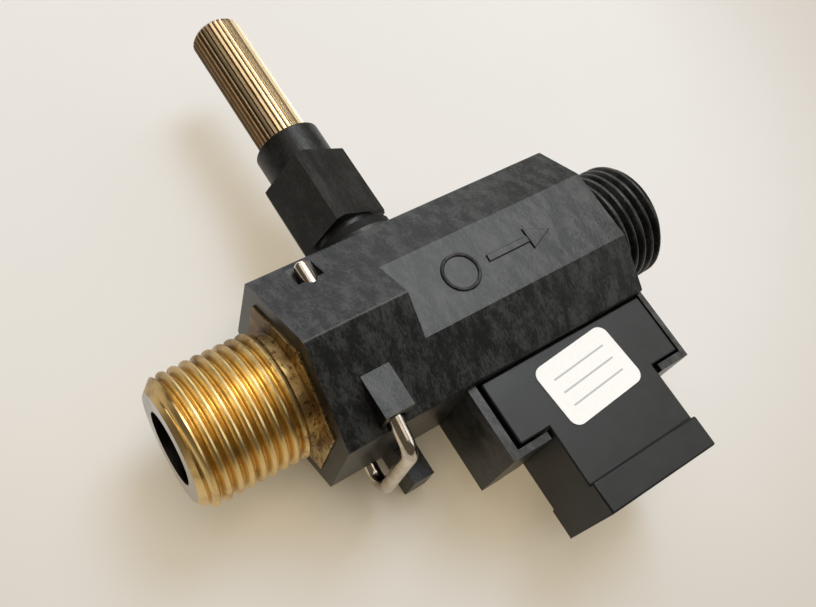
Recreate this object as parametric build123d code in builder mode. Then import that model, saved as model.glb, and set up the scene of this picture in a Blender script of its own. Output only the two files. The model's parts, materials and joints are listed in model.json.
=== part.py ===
from build123d import *
import os

os.makedirs("parts", exist_ok=True)

# Boiler flow switch: water enters a brass inlet, passes a hand-set throttle on a splined spindle,
# spins a magnetic rotor and leaves through a moulded outlet. A pickup on the side counts the turns.
# X runs along the flow with x = 0 on the inlet end face, Y along the spindle, Z out of the label face.
# All lengths in millimetres.

# Pipe threads: both ends carry a half-inch pipe thread, drawn at its major diameter.
thread_r = 10.478
thread_lead = 0.7

# Fits: fixed pieces that slide together, pieces that turn or slide in use, and end play.
fit_gap = 0.05
run_gap = 0.07
end_gap = 0.3

# Brass inlet fitting: threaded end, relief, hexagonal flange and a smooth plug inside the body.
inlet_thread_length = 17.2
inlet_bore_r = 5.75
neck_r = 9.1
neck_length = 1.8
flange_af = 23.6
flange_thickness = 3.2
plug_r = 11.0
plug_length = 10.2
clip_inset = 5.3
clip_groove_r = 8.95
ring_inset = 1.9
ring_wire = 2.0

# Retaining clip: a U of round wire whose legs lie in the groove of the inlet fitting, its loop set down.
wire_r = 1.2
wire_gap = 0.2
clip_bend_r = 2.8
clip_crank = 2.5
clip_crank_y = 11.0
clip_bar_y = 18.9
clip_tip_y = 13.4

# Body housing: a hexagonal moulding with one corner up, faced flat behind the inlet block.
body_af = 29.6
body_corner_r = 0.6
flange_proud = 0.4
block_length = 17.2
face_z = 13.4
outlet_thread_length = 12.2
outlet_bore_r = 7.8
clip_block_width = 4.8
clip_block_end_y = 13.9
clip_block_top_z = 13.1
notch_width = 4.4
notch_inner_y = 10.0
lug_from_block = 5.2
lug_thickness = 3.8
lug_end_y = 20.9
lug_top_z = -9.0
lug_height = 7.0
root = 1.5

# Strainer in the mouth of the body.
strainer_rim_r = 7.6
strainer_rim = 1.1
strainer_r = 5.2
strainer_wall = 0.7
strainer_length = 9.0
strainer_slots = 8
strainer_slot_width = 1.5
strainer_web = 1.4

# Throttle: bonnet, spindle and the plug whose half skirt it turns across the port.
spindle_from_block = 4.5
boss_r = 7.7
boss_height = 0.9
gasket_thickness = 1.6
gasket_r = 7.3
neck_height = 1.7
bonnet_af = 11.8
bonnet_corner = 1.1
bonnet_turn = 28.0
square_height = 13.5
collar_r = 5.95
collar_height = 5.8
spigot_r = 6.4
spigot_length = 9.0
spigot_bore_r = 5.2
shoulder_drop = 0.3
stem_r = 4.45
spline_r = 4.5
spline_count = 32
spline_depth = 0.42
spline_half_width = 0.3
spline_length = 25.6
spline_above_collar = 0.5
tip_chamfer = 0.5
thrust_r = 4.95
thrust_thickness = 2.2
stem_ring_wire = 1.3
stem_ring_from_top = 4.5
foot_r = 2.2
foot_half = 1.5
sleeve_r = 3.9
sleeve_length = 7.25
foot_socket = 0.4
plug_head = 2.0
skirt_wall = 0.8
skirt_length = 4.6
skirt_gap = 0.15
seat_bore_r = 4.0
seat_rim = 0.8
seat_height = 0.8
floor_thickness = 1.4
channel_height = 8.4
channel_width = 10.0
channel_past_seat = 4.6
port_height = 5.6
port_width = 8.4
port_sill = 0.3
chamber_wall = 2.5

# Turbine: swirl guide, rotor on a steel pin, rear bridge and the ring that holds them in.
guide_length = 6.0
guide_rim = 0.9
guide_hub_r = 2.4
guide_vanes = 5
guide_twist = 28.0
vane_thickness = 0.9
pin_r = 1.0
pin_seat = 3.0
rotor_length = 10.0
rotor_hub_r = 2.6
rotor_tip_gap = 0.5
rotor_blades = 6
rotor_blade_length = 4.4
rotor_twist = -32.0
magnet_r = 5.0
magnet_length = 4.0
magnet_inset = 0.8
bridge_length = 4.0
bridge_rim = 1.1
bridge_arm = 1.5
snap_thickness = 1.0
snap_depth = 0.6
snap_width = 1.4

# Pickup: a T-shaped housing that slides between two hooked rails on the side of the body.
label_z = 7.2
pickup_depth = 14.8
pickup_width = 32.7
pickup_gap = 0.2
wing_height = 10.7
connector_width = 21.6
connector_length = 15.3
connector_wall = 2.0
band_length = 5.2
band_front = 1.1
band_back = 0.7
socket_depth = 11.5
rail_wall_left = 1.5
rail_wall_right = 0.9
rail_lap = 0.4
rail_gap_left = 0.9
rail_gap_right = 0.2
rail_foot = 1.2
rail_foot_gap = 0.4
rail_hook_gap = 0.8
rail_stop = 1.2
rail_stop_width = 2.6
cover_margin = 1.4
cover_thickness = 1.4
board_thickness = 1.6
board_ledge = 0.9
board_room = 3.7
front_wall = 1.5
chip_width = 4.1
chip_height = 3.0
chip_thickness = 1.5
contact_pins = 3
contact_pitch = 4.2
contact_size = 1.0
contact_reach = 8.5

# Paper label on the front of the pickup, stuck on a little askew.
label_width = 15.4
label_height = 10.8
label_corner_r = 1.7
label_thickness = 0.15
label_turn = 5.0
label_drop = 7.0

# Places along the flow.
flange_x = inlet_thread_length + neck_length
flange_back_x = flange_x + flange_thickness
plug_end_x = flange_back_x + plug_length
clip_x = flange_back_x + clip_inset
ring_x = clip_x + ring_inset + ring_wire / 2
body_x = flange_x + flange_proud
block_end_x = body_x + block_length
strainer_x = plug_end_x + fit_gap
ledge_x = strainer_x + strainer_rim + fit_gap
spindle_x = block_end_x + spindle_from_block
chamber_r = spigot_r + fit_gap
skirt_r = chamber_r - skirt_gap
guide_x = spindle_x + chamber_r + chamber_wall
guide_end_x = guide_x + guide_length
rotor_x = guide_end_x + end_gap
magnet_x = rotor_x + magnet_inset
rotor_end_x = rotor_x + rotor_length
bridge_x = rotor_end_x + end_gap
bridge_end_x = bridge_x + bridge_length
pin_x = guide_end_x - pin_seat
pin_end_x = bridge_x + pin_seat
pickup_x = magnet_x + magnet_length / 2
rail_left_x = pickup_x - pickup_width / 2 - rail_gap_left
rail_right_x = pickup_x + pickup_width / 2 + rail_gap_right
body_end_x = rail_right_x + rail_lap
outlet_x = body_end_x + outlet_thread_length

# Places along the spindle.
flat_y = body_af / 2
boss_top_y = flat_y + boss_height
neck_y = boss_top_y + gasket_thickness
bonnet_y = neck_y + neck_height
square_top_y = bonnet_y + square_height
collar_top_y = square_top_y + collar_height
spigot_y = bonnet_y - spigot_length
shoulder_y = bonnet_y - shoulder_drop
thrust_top_y = shoulder_y - end_gap
thrust_y = thrust_top_y - thrust_thickness
bush_top_y = thrust_y - end_gap
spline_y = collar_top_y + spline_above_collar
tip_y = spline_y + spline_length
stem_ring_y = collar_top_y - stem_ring_from_top
sleeve_top_y = thrust_y - fit_gap
head_top_y = sleeve_top_y - sleeve_length
head_y = head_top_y - plug_head
skirt_y = head_y - skirt_length
seat_y = skirt_y - end_gap
floor_y = seat_y - seat_height
channel_top_y = floor_y - floor_thickness
channel_y = channel_top_y - channel_height
socket_floor_y = head_top_y - foot_socket
foot_end_y = socket_floor_y + end_gap

# Places on the pickup.
pickup_back_z = label_z - pickup_depth
pickup_top_y = -flat_y - pickup_gap
wing_y = pickup_top_y - wing_height
connector_y = wing_y - connector_length
socket_floor = connector_y + socket_depth
pickup_mid_z = (label_z + pickup_back_z) / 2
foot_top_y = wing_y - rail_foot_gap
foot_y = foot_top_y - rail_foot
foot_left_x = pickup_x - connector_width / 2 - rail_hook_gap
foot_right_x = pickup_x + connector_width / 2 + rail_hook_gap
rail_back_z = pickup_back_z - end_gap
wing_mid_y = (pickup_top_y + wing_y) / 2
room_width = pickup_width - 4 * cover_margin
room_height = wing_height - 2 * cover_margin - 2 * board_ledge
board_z = label_z - front_wall - board_room
contact_z = board_z - board_thickness - contact_size / 2

# Radii that follow from the fits.
clip_z = clip_groove_r + wire_gap + wire_r
groove_half = wire_r + wire_gap
clip_slope = clip_crank / (clip_bar_y - clip_crank_y)
socket_r = plug_r + fit_gap
ring_groove_r = socket_r - ring_wire - fit_gap
stem_bore_r = stem_r + run_gap
stem_groove_r = stem_bore_r - stem_ring_wire - fit_gap
guide_r = outlet_bore_r - fit_gap
snap_groove_r = outlet_bore_r + snap_depth

# The spindle's centre line.
spindle_axis = Axis((spindle_x, 0, 0), (0, 1, 0))


def across_flow(x):
    """Plane square to the flow at x, with Y to the right and Z up."""
    return Plane.YZ.offset(x)


def spoke(x, turn):
    """Plane square to the flow at x, with its X axis turned about the flow by turn degrees."""
    return Plane(origin=(x, 0, 0), x_dir=Vector(0, 1, 0).rotate(Axis.X, turn), z_dir=(1, 0, 0))


def across_spindle(y):
    """Plane square to the spindle at height y, centred on the spindle."""
    return Plane(origin=(spindle_x, y, 0), x_dir=(1, 0, 0), z_dir=(0, 1, 0))


# Body housing: hexagonal tube with the inlet block, throttle chamber, outlet and pickup rails.
with BuildPart() as body_housing:
    with BuildSketch(across_flow(body_x)) as body_section:
        RegularPolygon(body_af / 2, 6, major_radius=False, rotation=30)
        fillet(body_section.vertices(), body_corner_r)
    extrude(amount=body_end_x - body_x)
    # The corner is faced flat behind the inlet block, above and below.
    for side in (1, -1):
        with BuildSketch(Plane.XY.offset(side * face_z)):
            with Locations(((block_end_x + body_end_x) / 2, 0)):
                Rectangle(body_end_x - block_end_x, body_af)
        extrude(amount=side * body_af, mode=Mode.SUBTRACT)
    # Outlet spigot for the pipe thread, with a chamfer to start the nut.
    with BuildSketch(across_flow(body_end_x - root)):
        Circle(thread_r)
    extrude(amount=outlet_thread_length + root)
    outlet_rim = body_housing.faces().sort_by(Axis.X)[-1].edges()
    chamfer(outlet_rim, thread_lead)
    # Boss under the bonnet.
    with BuildSketch(across_spindle(seat_y)):
        Circle(boss_r)
    extrude(amount=boss_top_y - seat_y)
    # Blocks that carry the clip legs, above and below the flow.
    for side in (1, -1):
        with BuildSketch(across_flow(clip_x - clip_block_width / 2)):
            with Locations((-clip_block_end_y / 2, side * clip_block_top_z / 2)):
                Rectangle(clip_block_end_y, clip_block_top_z)
        extrude(amount=clip_block_width)
    # Lug behind the clip on the pickup side.
    with BuildSketch(across_flow(block_end_x - lug_from_block)) as lug_section:
        with Locations((-lug_end_y / 2, lug_top_z - lug_height / 2)):
            Rectangle(lug_end_y, lug_height)
        fillet(lug_section.vertices().group_by(Axis.Y)[0], body_corner_r)
    extrude(amount=lug_thickness)
    # Hooked rails for the pickup, with stops at the back.
    with BuildSketch(Plane.XY.offset(rail_back_z)):
        for inner_x, hook_x, out in (
            (rail_left_x, foot_left_x, -rail_wall_left),
            (rail_right_x, foot_right_x, rail_wall_right),
        ):
            with BuildLine():
                Polyline(
                    (inner_x, root - flat_y),
                    (inner_x, foot_top_y),
                    (hook_x, foot_top_y),
                    (hook_x, foot_y),
                    (inner_x + out, foot_y),
                    (inner_x + out, root - flat_y),
                    close=True,
                )
            make_face()
    extrude(amount=label_z - rail_back_z)
    with BuildSketch(Plane.XY.offset(rail_back_z)):
        for inner_x, out in ((rail_left_x, -rail_wall_left), (rail_right_x, rail_wall_right)):
            lip_x = inner_x - rail_stop_width * out / abs(out)
            with Locations(((lip_x + inner_x + out) / 2, (root - flat_y + foot_y) / 2)):
                Rectangle(rail_stop_width + abs(out), root - flat_y - foot_y)
    extrude(amount=-rail_stop)
    # Socket for the inlet fitting: hexagonal mouth, plug bore and strainer ledge.
    with BuildSketch(across_flow(body_x)):
        RegularPolygon(flange_af / 2 + fit_gap, 6, major_radius=False, rotation=30)
    extrude(amount=flange_back_x - body_x, mode=Mode.SUBTRACT)
    with BuildSketch(across_flow(body_x)):
        Circle(socket_r)
    extrude(amount=strainer_x - body_x, mode=Mode.SUBTRACT)
    with BuildSketch(across_flow(body_x)):
        Circle(strainer_rim_r + fit_gap)
    extrude(amount=ledge_x - body_x, mode=Mode.SUBTRACT)
    # Holes for the clip legs, slotted at the loop's end, opening into a notch where the tips come out.
    for side, mouth_y in ((1, flat_y), (-1, clip_block_end_y)):
        with BuildSketch(Plane.XZ.offset(-flat_y)):
            with Locations((clip_x, side * clip_z)):
                Circle(wire_r + wire_gap)
        extrude(amount=body_af, mode=Mode.SUBTRACT)
        slot_drop = clip_slope * (mouth_y - clip_crank_y)
        with BuildSketch(Plane.XZ.offset(clip_crank_y)):
            with Locations((clip_x, side * clip_z - slot_drop / 2)):
                SlotCenterToCenter(slot_drop, 2 * groove_half, rotation=90)
        extrude(amount=flat_y - clip_crank_y, mode=Mode.SUBTRACT)
        with BuildSketch(across_flow(clip_x - notch_width / 2)):
            with Locations(((notch_inner_y + flat_y) / 2, side * (clip_z - wire_r + flat_y) / 2)):
                Rectangle(flat_y - notch_inner_y, flat_y - clip_z + wire_r)
        extrude(amount=notch_width, mode=Mode.SUBTRACT)
    # Way in under the seat, the seat itself, and the throttle chamber above it.
    with BuildSketch(across_flow(ledge_x)):
        with Locations(((channel_top_y + channel_y) / 2, 0)):
            RectangleRounded(channel_height, channel_width, channel_height / 3)
    extrude(amount=spindle_x + channel_past_seat - ledge_x, mode=Mode.SUBTRACT)
    with BuildSketch(across_spindle(channel_top_y - root)):
        Circle(seat_bore_r)
    extrude(amount=seat_y - channel_top_y + root, mode=Mode.SUBTRACT)
    with BuildSketch(across_spindle(floor_y)):
        Circle(chamber_r)
        Circle(seat_bore_r + seat_rim, mode=Mode.SUBTRACT)
    extrude(amount=seat_y - floor_y, mode=Mode.SUBTRACT)
    with BuildSketch(across_spindle(seat_y)):
        Circle(chamber_r)
    extrude(amount=boss_top_y - seat_y, mode=Mode.SUBTRACT)
    # Port from the chamber into the turbine bore, which runs on to the outlet.
    with BuildSketch(across_flow(spindle_x + seat_bore_r + seat_rim)):
        with Locations((floor_y + port_sill + port_height / 2, 0)):
            RectangleRounded(port_height, port_width, port_height / 4)
    extrude(amount=guide_x - spindle_x - seat_bore_r - seat_rim, mode=Mode.SUBTRACT)
    with BuildSketch(across_flow(guide_x)):
        Circle(outlet_bore_r)
    extrude(amount=outlet_x - guide_x, mode=Mode.SUBTRACT)
    with BuildSketch(across_flow(bridge_end_x)):
        Circle(snap_groove_r)
    extrude(amount=snap_thickness + 2 * fit_gap, mode=Mode.SUBTRACT)
body_housing.part.label = "body_housing"
export_step(body_housing.part, "parts/body_housing.step")

# Inlet fitting: turned from hexagonal brass bar, with grooves for the clip and the sealing ring.
with BuildPart() as inlet_fitting:
    with BuildSketch(Plane.XY):
        with BuildLine():
            Polyline(
                (0, inlet_bore_r),
                (0, thread_r - thread_lead),
                (thread_lead, thread_r),
                (inlet_thread_length, thread_r),
                (inlet_thread_length, neck_r),
                (flange_x + flange_thickness / 2, neck_r),
                (flange_x + flange_thickness / 2, plug_r),
                (clip_x - groove_half, plug_r),
                (clip_x - groove_half, clip_groove_r),
                (clip_x + groove_half, clip_groove_r),
                (clip_x + groove_half, plug_r),
                (ring_x - ring_wire / 2 - fit_gap, plug_r),
                (ring_x - ring_wire / 2 - fit_gap, ring_groove_r),
                (ring_x + ring_wire / 2 + fit_gap, ring_groove_r),
                (ring_x + ring_wire / 2 + fit_gap, plug_r),
                (plug_end_x, plug_r),
                (plug_end_x, inlet_bore_r),
                close=True,
            )
        make_face()
    revolve(axis=Axis.X)
    with BuildSketch(across_flow(flange_x)):
        RegularPolygon(flange_af / 2, 6, major_radius=False, rotation=30)
        Circle(inlet_bore_r, mode=Mode.SUBTRACT)
    extrude(amount=flange_thickness)
inlet_fitting.part.label = "inlet_fitting"
export_step(inlet_fitting.part, "parts/inlet_fitting.step")

# Sealing ring of the inlet fitting.
with BuildPart() as inlet_seal:
    with BuildSketch(Plane.XY):
        with Locations((ring_x, ring_groove_r + fit_gap / 2 + ring_wire / 2)):
            Circle(ring_wire / 2)
    revolve(axis=Axis.X)
inlet_seal.part.label = "inlet_seal"
export_step(inlet_seal.part, "parts/inlet_seal.step")

# Retaining clip: a U of spring wire pushed in from the pickup side.
with BuildPart() as retaining_clip:
    with BuildLine(across_flow(clip_x)) as clip_path:
        FilletPolyline(
            (clip_tip_y, clip_z),
            (-clip_crank_y, clip_z),
            (-clip_bar_y, clip_z - clip_crank),
            (-clip_bar_y, -clip_z - clip_crank),
            (-clip_crank_y, -clip_z),
            (clip_tip_y, -clip_z),
            radius=clip_bend_r,
        )
    with BuildSketch(Plane(origin=(clip_x, clip_tip_y, clip_z), z_dir=(0, -1, 0))):
        Circle(wire_r)
    sweep(path=clip_path.wires()[0])
    fillet(retaining_clip.faces().group_by(Axis.Y)[-1].edges(), wire_r / 2)
retaining_clip.part.label = "retaining_clip"
export_step(retaining_clip.part, "parts/retaining_clip.step")

# Strainer: a slotted cup that stands up the inlet bore, held by its rim at the ledge.
with BuildPart() as inlet_strainer:
    with BuildSketch(Plane.XY):
        with BuildLine():
            Polyline(
                (strainer_x - strainer_length, 0),
                (strainer_x - strainer_length, strainer_r),
                (strainer_x, strainer_r),
                (strainer_x, strainer_rim_r),
                (strainer_x + strainer_rim, strainer_rim_r),
                (strainer_x + strainer_rim, strainer_r - strainer_wall),
                (strainer_x - strainer_length + strainer_wall, strainer_r - strainer_wall),
                (strainer_x - strainer_length + strainer_wall, 0),
                close=True,
            )
        make_face()
    revolve(axis=Axis.X)
    with BuildSketch(across_flow(strainer_x - strainer_length + strainer_web)):
        with PolarLocations(strainer_r, strainer_slots):
            Rectangle(2 * strainer_web, strainer_slot_width)
    extrude(amount=strainer_length - 2 * strainer_web, mode=Mode.SUBTRACT)
inlet_strainer.part.label = "inlet_strainer"
export_step(inlet_strainer.part, "parts/inlet_strainer.step")

# Bonnet: square for a spanner, round collar above, neck and bored spigot below.
with BuildPart() as bonnet:
    with BuildSketch(across_spindle(bonnet_y)) as bonnet_square:
        Rectangle(bonnet_af, bonnet_af, rotation=bonnet_turn)
        chamfer(bonnet_square.vertices(), bonnet_corner)
    extrude(amount=square_height)
    with BuildSketch(across_spindle(square_top_y)):
        Circle(collar_r)
    extrude(amount=collar_height)
    with BuildSketch(across_spindle(neck_y)):
        Circle(gasket_r)
    extrude(amount=neck_height)
    with BuildSketch(across_spindle(spigot_y)):
        Circle(spigot_r)
    extrude(amount=spigot_length)
    with BuildSketch(across_spindle(spigot_y)):
        Circle(spigot_bore_r)
    extrude(amount=shoulder_y - spigot_y, mode=Mode.SUBTRACT)
    with BuildSketch(across_spindle(shoulder_y)):
        Circle(stem_bore_r)
    extrude(amount=collar_top_y - shoulder_y, mode=Mode.SUBTRACT)
bonnet.part.label = "bonnet"
export_step(bonnet.part, "parts/bonnet.step")

# Gasket between the bonnet and the boss.
with BuildPart() as bonnet_gasket:
    with BuildSketch(across_spindle(boss_top_y)):
        Circle(gasket_r)
        Circle(spigot_r + fit_gap, mode=Mode.SUBTRACT)
    extrude(amount=gasket_thickness)
bonnet_gasket.part.label = "bonnet_gasket"
export_step(bonnet_gasket.part, "parts/bonnet_gasket.step")

# Guide bush: holds the spindle up and is the bearing of the plug's sleeve.
with BuildPart() as guide_bush:
    with BuildSketch(across_spindle(spigot_y)):
        Circle(spigot_bore_r - fit_gap)
    extrude(amount=bush_top_y - spigot_y)
    with BuildSketch(across_spindle(spigot_y)):
        Circle(sleeve_r + run_gap)
    extrude(amount=bush_top_y - spigot_y, mode=Mode.SUBTRACT)
guide_bush.part.label = "guide_bush"
export_step(guide_bush.part, "parts/guide_bush.step")

# Spindle: splined end for a knob, plain stem with a ring groove, thrust collar and flatted foot.
with BuildPart() as spindle:
    with BuildSketch(Plane.XY):
        with BuildLine():
            Polyline(
                (spindle_x, foot_end_y),
                (spindle_x + foot_r, foot_end_y),
                (spindle_x + foot_r, thrust_y),
                (spindle_x + thrust_r, thrust_y),
                (spindle_x + thrust_r, thrust_top_y),
                (spindle_x + stem_r, thrust_top_y),
                (spindle_x + stem_r, stem_ring_y - stem_ring_wire / 2 - fit_gap),
                (spindle_x + stem_groove_r, stem_ring_y - stem_ring_wire / 2 - fit_gap),
                (spindle_x + stem_groove_r, stem_ring_y + stem_ring_wire / 2 + fit_gap),
                (spindle_x + stem_r, stem_ring_y + stem_ring_wire / 2 + fit_gap),
                (spindle_x + stem_r, spline_y),
                (spindle_x, spline_y),
                close=True,
            )
        make_face()
    revolve(axis=spindle_axis)
    with BuildSketch(across_spindle(foot_end_y)):
        Circle(foot_r)
        Rectangle(2 * foot_r, 2 * foot_half, mode=Mode.SUBTRACT)
    extrude(amount=thrust_y - foot_end_y, mode=Mode.SUBTRACT)
    with BuildSketch(across_spindle(spline_y)):
        Circle(spline_r)
        with PolarLocations(spline_r, spline_count):
            Polygon(
                (-spline_depth, 0),
                (spline_depth, -2 * spline_half_width),
                (spline_depth, 2 * spline_half_width),
                align=None,
                mode=Mode.SUBTRACT,
            )
    extrude(amount=spline_length)
    # The end is turned to a short chamfer.
    with BuildSketch(Plane.XY):
        with BuildLine():
            Polyline(
                (spindle_x + spline_r - tip_chamfer, tip_y),
                (spindle_x + spline_r + tip_chamfer, tip_y),
                (spindle_x + spline_r + tip_chamfer, tip_y - 2 * tip_chamfer),
                close=True,
            )
        make_face()
    revolve(axis=spindle_axis, mode=Mode.SUBTRACT)
spindle.part.label = "spindle"
export_step(spindle.part, "parts/spindle.step")

# Sealing ring on the stem.
with BuildPart() as stem_seal:
    with BuildSketch(Plane.XY):
        with Locations((spindle_x + stem_groove_r + fit_gap / 2 + stem_ring_wire / 2, stem_ring_y)):
            Circle(stem_ring_wire / 2)
    revolve(axis=spindle_axis)
stem_seal.part.label = "stem_seal"
export_step(stem_seal.part, "parts/stem_seal.step")

# Throttle plug, drawn fully open: sleeve over the flatted foot, head, and half a skirt turned from the port.
with BuildPart() as throttle_plug:
    with BuildSketch(across_spindle(head_y)):
        Circle(skirt_r)
    extrude(amount=plug_head)
    with BuildSketch(across_spindle(head_top_y)):
        Circle(sleeve_r)
    extrude(amount=sleeve_length)
    with BuildSketch(across_spindle(socket_floor_y)):
        Circle(foot_r + run_gap)
        Rectangle(2 * (foot_r + run_gap), 2 * (foot_half + run_gap), mode=Mode.INTERSECT)
    extrude(amount=sleeve_top_y - socket_floor_y, mode=Mode.SUBTRACT)
    with BuildSketch(across_spindle(skirt_y)):
        Circle(skirt_r)
        Circle(skirt_r - skirt_wall, mode=Mode.SUBTRACT)
        with Locations((skirt_r / 2, 0)):
            Rectangle(skirt_r, 2 * skirt_r, mode=Mode.SUBTRACT)
    extrude(amount=skirt_length)
throttle_plug.part.label = "throttle_plug"
export_step(throttle_plug.part, "parts/throttle_plug.step")

# Swirl guide: rim, hub and twisted vanes that set the water turning.
with BuildPart() as swirl_guide:
    with BuildSketch(across_flow(guide_x)):
        Circle(guide_hub_r)
    extrude(amount=guide_length)
    vane_r = guide_r - guide_rim / 2
    for vane in range(guide_vanes):
        turn = vane * 360 / guide_vanes
        for x, twist in ((guide_x, 0), (guide_end_x, guide_twist)):
            with BuildSketch(spoke(x, turn + twist)):
                with Locations(((vane_r + pin_r) / 2, 0)):
                    Rectangle(vane_r - pin_r, vane_thickness)
        loft()
    with BuildSketch(across_flow(guide_x)):
        Circle(guide_r)
        Circle(guide_r - guide_rim, mode=Mode.SUBTRACT)
    extrude(amount=guide_length)
    with BuildSketch(across_flow(pin_x)):
        Circle(pin_r + fit_gap)
    extrude(amount=pin_seat, mode=Mode.SUBTRACT)
swirl_guide.part.label = "swirl_guide"
export_step(swirl_guide.part, "parts/swirl_guide.step")

# Rotor: hub with twisted blades behind the magnet.
with BuildPart() as rotor:
    with BuildSketch(across_flow(rotor_x)):
        Circle(rotor_hub_r)
    extrude(amount=rotor_length)
    blade_r = outlet_bore_r - rotor_tip_gap
    blade_x = rotor_end_x - rotor_blade_length
    for blade in range(rotor_blades):
        turn = blade * 360 / rotor_blades
        for x, twist in ((blade_x, 0), (rotor_end_x, rotor_twist)):
            with BuildSketch(spoke(x, turn + twist)):
                with Locations(((blade_r + pin_r) / 2, 0)):
                    Rectangle(blade_r - pin_r, vane_thickness)
        loft()
    with BuildSketch(across_flow(rotor_x)):
        Circle(pin_r + run_gap)
    extrude(amount=rotor_length, mode=Mode.SUBTRACT)
rotor.part.label = "rotor"
export_step(rotor.part, "parts/rotor.step")

# Ring magnet on the rotor hub.
with BuildPart() as rotor_magnet:
    with BuildSketch(across_flow(magnet_x)):
        Circle(magnet_r)
        Circle(rotor_hub_r + fit_gap, mode=Mode.SUBTRACT)
    extrude(amount=magnet_length)
rotor_magnet.part.label = "rotor_magnet"
export_step(rotor_magnet.part, "parts/rotor_magnet.step")

# Steel pin that the rotor turns on.
with BuildPart() as rotor_pin:
    with BuildSketch(across_flow(pin_x)):
        Circle(pin_r)
    extrude(amount=pin_end_x - pin_x)
rotor_pin.part.label = "rotor_pin"
export_step(rotor_pin.part, "parts/rotor_pin.step")

# Rear bridge: three arms that carry the far end of the pin.
with BuildPart() as rear_bridge:
    with BuildSketch(across_flow(bridge_x)):
        Circle(guide_r)
        Circle(guide_r - bridge_rim, mode=Mode.SUBTRACT)
        Circle(guide_hub_r)
        with PolarLocations((guide_r - bridge_rim / 2) / 2, 3):
            Rectangle(guide_r - bridge_rim / 2, bridge_arm)
    extrude(amount=bridge_length)
    with BuildSketch(across_flow(bridge_x)):
        Circle(pin_r + fit_gap)
    extrude(amount=pin_seat, mode=Mode.SUBTRACT)
rear_bridge.part.label = "rear_bridge"
export_step(rear_bridge.part, "parts/rear_bridge.step")

# Snap ring that holds the turbine in the outlet bore.
with BuildPart() as snap_ring:
    with BuildSketch(across_flow(bridge_end_x + fit_gap)):
        Circle(snap_groove_r - fit_gap)
        Circle(snap_groove_r - snap_width, mode=Mode.SUBTRACT)
        with BuildLine():
            Polyline(
                (0, 0),
                (2 * thread_r, -thread_r),
                (2 * thread_r, thread_r),
                close=True,
            )
        make_face(mode=Mode.SUBTRACT)
    extrude(amount=snap_thickness)
snap_ring.part.label = "snap_ring"
export_step(snap_ring.part, "parts/snap_ring.step")

# Pickup housing: T-shaped case with the plug socket at its foot, open at the back for the board.
with BuildPart() as pickup_housing:
    with BuildSketch(Plane.XY.offset(pickup_back_z)):
        with Locations((pickup_x, wing_mid_y)):
            Rectangle(pickup_width, wing_height)
        with Locations((pickup_x, (wing_mid_y + connector_y) / 2)):
            Rectangle(connector_width, wing_mid_y - connector_y)
    extrude(amount=pickup_depth)
    with BuildSketch(Plane.XY.offset(pickup_back_z - band_back)):
        with Locations((pickup_x, connector_y + band_length / 2)):
            Rectangle(connector_width, band_length)
    extrude(amount=pickup_depth + band_back + band_front)
    # Socket for the plug of the wiring loom.
    with BuildSketch(Plane.XZ.offset(-connector_y)):
        with Locations((pickup_x, pickup_mid_z)):
            Rectangle(connector_width - 2 * connector_wall, pickup_depth - 2 * connector_wall)
    extrude(amount=-socket_depth, mode=Mode.SUBTRACT)
    # Room for the board, stepped to carry the board and the cover.
    with BuildSketch(Plane.XY.offset(pickup_back_z)):
        with Locations((pickup_x, wing_mid_y)):
            Rectangle(pickup_width - 2 * cover_margin, wing_height - 2 * cover_margin)
    extrude(amount=cover_thickness, mode=Mode.SUBTRACT)
    with BuildSketch(Plane.XY.offset(pickup_back_z)):
        with Locations((pickup_x, wing_mid_y)):
            Rectangle(room_width, room_height + board_ledge)
    extrude(amount=board_z - pickup_back_z, mode=Mode.SUBTRACT)
    with BuildSketch(Plane.XY.offset(pickup_back_z)):
        with Locations((pickup_x, wing_mid_y)):
            Rectangle(room_width - 2 * board_ledge, room_height - board_ledge)
    extrude(amount=pickup_depth - front_wall, mode=Mode.SUBTRACT)
    # Slots for the contact pins.
    with BuildSketch(Plane.XZ.offset(-socket_floor)):
        with Locations((pickup_x, contact_z)):
            with GridLocations(contact_pitch, 0, contact_pins, 1):
                Rectangle(contact_size + 2 * fit_gap, contact_size + 2 * fit_gap)
    extrude(amount=socket_floor - wing_mid_y, mode=Mode.SUBTRACT)
pickup_housing.part.label = "pickup_housing"
export_step(pickup_housing.part, "parts/pickup_housing.step")

# Cover over the board, let into the back of the pickup.
with BuildPart() as pickup_cover:
    with BuildSketch(Plane.XY.offset(pickup_back_z)):
        with Locations((pickup_x, wing_mid_y)):
            Rectangle(
                pickup_width - 2 * (cover_margin + fit_gap),
                wing_height - 2 * (cover_margin + fit_gap),
            )
    extrude(amount=cover_thickness)
pickup_cover.part.label = "pickup_cover"
export_step(pickup_cover.part, "parts/pickup_cover.step")

# Circuit board, lying on the ledge in the pickup.
with BuildPart() as pickup_board:
    with BuildSketch(Plane.XY.offset(board_z - board_thickness)):
        with Locations((pickup_x, wing_mid_y)):
            Rectangle(room_width - 2 * fit_gap, room_height + board_ledge - 2 * fit_gap)
    extrude(amount=board_thickness)
pickup_board.part.label = "pickup_board"
export_step(pickup_board.part, "parts/pickup_board.step")

# Magnetic sensor chip at the edge of the board next to the rotor.
with BuildPart() as sensor_chip:
    with BuildSketch(Plane.XY.offset(board_z)):
        with Locations((pickup_x, wing_mid_y + (room_height - board_ledge - chip_height) / 2 - fit_gap)):
            Rectangle(chip_width, chip_height)
    extrude(amount=chip_thickness)
sensor_chip.part.label = "sensor_chip"
export_step(sensor_chip.part, "parts/sensor_chip.step")

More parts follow.
